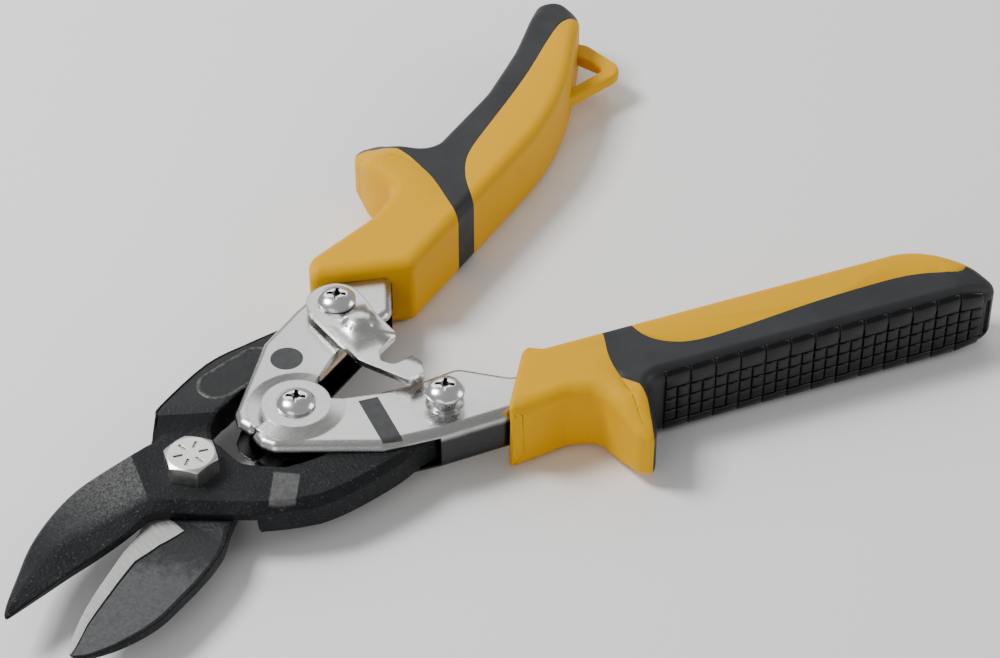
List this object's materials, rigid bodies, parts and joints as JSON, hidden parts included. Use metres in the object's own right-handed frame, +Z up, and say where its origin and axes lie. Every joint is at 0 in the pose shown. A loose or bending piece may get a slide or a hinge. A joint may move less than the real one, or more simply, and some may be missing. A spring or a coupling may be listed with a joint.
{
  "type": "aviation snips",
  "caption": "Compound-leverage sheet metal snips with offset jaws, spring-open plated handles, a swinging handle latch and two-colour moulded grips with a hanging loop.",
  "frame": {"origin": "on the main pivot's axis, in the plane that the tool rests on when it lies flat; the lower end of the pivot bolt", "axes": "+X from the main pivot through the centre pivot towards the handles, +Z up along all the pivots, +Y on the left handle's side"},
  "size_m": [0.2435, 0.1632, 0.0219],
  "materials": {
    "yellow_plastic": "satin",
    "black_cover": "matte",
    "black_pad": "gloss",
    "plated_steel": "satin",
    "bright_screw": "polished",
    "zinc_steel": "satin",
    "black_steel": "satin",
    "spring_steel": "satin",
    "bronze": "satin",
    "nylon": "satin"
  },
  "bodies": {
    "right_handle": {"right_handle_channel": "plated_steel", "right_grip_shell": "yellow_plastic", "right_grip_overmould": "black_cover", "right_grip_pad": "black_pad", "right_link_screw": "bright_screw", "right_link_nut": "zinc_steel", "centre_screw": "bright_screw", "centre_nut": "zinc_steel", "centre_bush": "bronze", "return_spring": "spring_steel"},
    "left_handle": {"left_handle_channel": "plated_steel", "left_grip_shell": "yellow_plastic", "left_grip_overmould": "black_cover", "left_link_screw": "bright_screw", "left_link_nut": "zinc_steel", "latch_spacer": "zinc_steel"},
    "upper_blade": {"upper_blade": "black_steel", "pivot_bolt": "zinc_steel", "pivot_washer": "zinc_steel", "pivot_locknut": "zinc_steel", "pivot_nut_insert": "nylon"},
    "lower_blade": {"lower_blade": "black_steel"},
    "latch": {"latch_plate": "plated_steel"}
  },
  "joints": [
    {"name": "handle_pivot", "type": "hinge", "parent": "right_handle", "child": "left_handle", "pos_m": [0.0294, 0, 0.01], "axis": [0, 0, -1], "range_deg": [0, 34.56], "stiffness_Nm_per_rad": 1.5, "springref_deg": -17.19, "deforming": ["return_spring"]},
    {"name": "upper_link", "type": "hinge", "parent": "right_handle", "child": "upper_blade", "pos_m": [0.057, -0.0209, 0.01], "axis": [0, 0, -1], "range_deg": [0, 8.33]},
    {"name": "lower_link", "type": "hinge", "parent": "left_handle", "child": "lower_blade", "pos_m": [0.057, 0.0209, 0.01], "axis": [0, 0, -1], "range_deg": [-8.33, 0]},
    {"name": "latch_pivot", "type": "hinge", "parent": "left_handle", "child": "latch", "pos_m": [0.057, 0.0209, 0.0184], "axis": [0, 0, 1], "range_deg": [-30, 20]}
  ],
  "couplings": [
    {"joint": "upper_link", "follows": "handle_pivot", "ratio": 0.2405},
    {"joint": "lower_link", "follows": "handle_pivot", "ratio": -0.2405}
  ]
}
